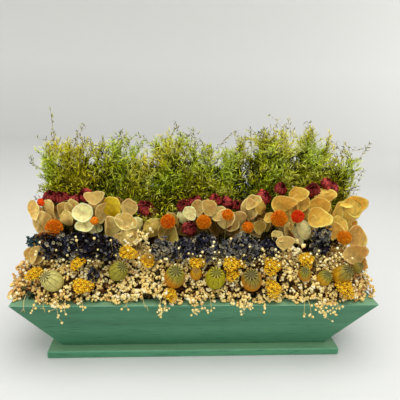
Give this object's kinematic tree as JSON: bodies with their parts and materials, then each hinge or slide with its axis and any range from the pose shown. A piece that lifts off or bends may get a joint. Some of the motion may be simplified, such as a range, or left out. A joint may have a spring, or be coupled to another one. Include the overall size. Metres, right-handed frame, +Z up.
{
  "type": "floral table centerpiece",
  "caption": "Low, long arrangement of dried flowers in rows, standing in foam in a green-painted wooden box whose boards lean outwards over a wider base board.",
  "frame": {"origin": "middle of the base board's underside, on the surface that the centerpiece stands on", "axes": "+Z up, +X along the box to the right as seen from the front, -Y towards the front"},
  "size_m": [0.5004, 0.171, 0.33],
  "materials": {
    "green_paint": "brushed green paint on softwood, satin, with the grain showing through",
    "bare_pine": "bare planed pine",
    "screw_steel": "zinc plated",
    "dry_foam": "dry flower foam, dull grey-green, crumbly",
    "fern": "preserved fine foliage, dull olive to lime green",
    "dried_rosebud": "dried petals, dull dark red",
    "lunaria": "papery translucent discs, straw and pale gold with a soft sheen",
    "globe_amaranth": "dried bracts, dull orange to red",
    "statice": "dried florets, very dark navy with grey-blue and pale flecks",
    "yarrow": "dried golden florets, dull",
    "poppy_pod": "dried seed pods, pale green to orange-brown, waxy",
    "gypsophila": "tiny dried florets, cream to straw"
  },
  "bodies": {
    "root": {"base_board": "green_paint", "front_panel": "green_paint", "back_panel": "green_paint", "left_end_panel": "green_paint", "right_end_panel": "green_paint", "box_floor": "bare_pine", "base_screw_left": "screw_steel", "base_screw_right": "screw_steel", "foam_block_left": "dry_foam", "foam_block_right": "dry_foam", "fern_bunch_1": "fern", "fern_bunch_2": "fern", "fern_bunch_3": "fern", "fern_bunch_4": "fern", "fern_bunch_5": "fern", "fern_bunch_6": "fern", "fern_bunch_7": "fern", "rosebud_branch_1": "dried_rosebud", "rosebud_branch_2": "dried_rosebud", "rosebud_branch_3": "dried_rosebud", "rosebud_branch_4": "dried_rosebud", "rosebud_branch_5": "dried_rosebud", "rosebud_branch_6": "dried_rosebud", "lunaria_spray_1": "lunaria", "lunaria_spray_2": "lunaria", "lunaria_spray_3": "lunaria", "lunaria_spray_4": "lunaria", "lunaria_spray_5": "lunaria", "lunaria_spray_6": "lunaria", "lunaria_spray_7": "lunaria", "lunaria_spray_8": "lunaria", "globe_stem_1": "globe_amaranth", "globe_stem_2": "globe_amaranth", "globe_stem_3": "globe_amaranth", "globe_stem_4": "globe_amaranth", "globe_stem_5": "globe_amaranth", "globe_stem_6": "globe_amaranth", "statice_cluster_1": "statice", "statice_cluster_2": "statice", "statice_cluster_3": "statice", "statice_cluster_4": "statice", "statice_cluster_5": "statice", "yarrow_spray_1": "yarrow", "yarrow_spray_2": "yarrow", "yarrow_spray_3": "yarrow", "yarrow_spray_4": "yarrow", "yarrow_spray_5": "yarrow", "poppy_pod_1": "poppy_pod", "poppy_pod_2": "poppy_pod", "poppy_pod_3": "poppy_pod", "poppy_pod_4": "poppy_pod", "poppy_pod_5": "poppy_pod", "poppy_pod_6": "poppy_pod", "poppy_pod_7": "poppy_pod", "gypsophila_bunch_1": "gypsophila", "gypsophila_bunch_2": "gypsophila", "gypsophila_bunch_3": "gypsophila", "gypsophila_bunch_4": "gypsophila", "gypsophila_bunch_5": "gypsophila", "gypsophila_bunch_6": "gypsophila"}
  },
  "joints": []
}
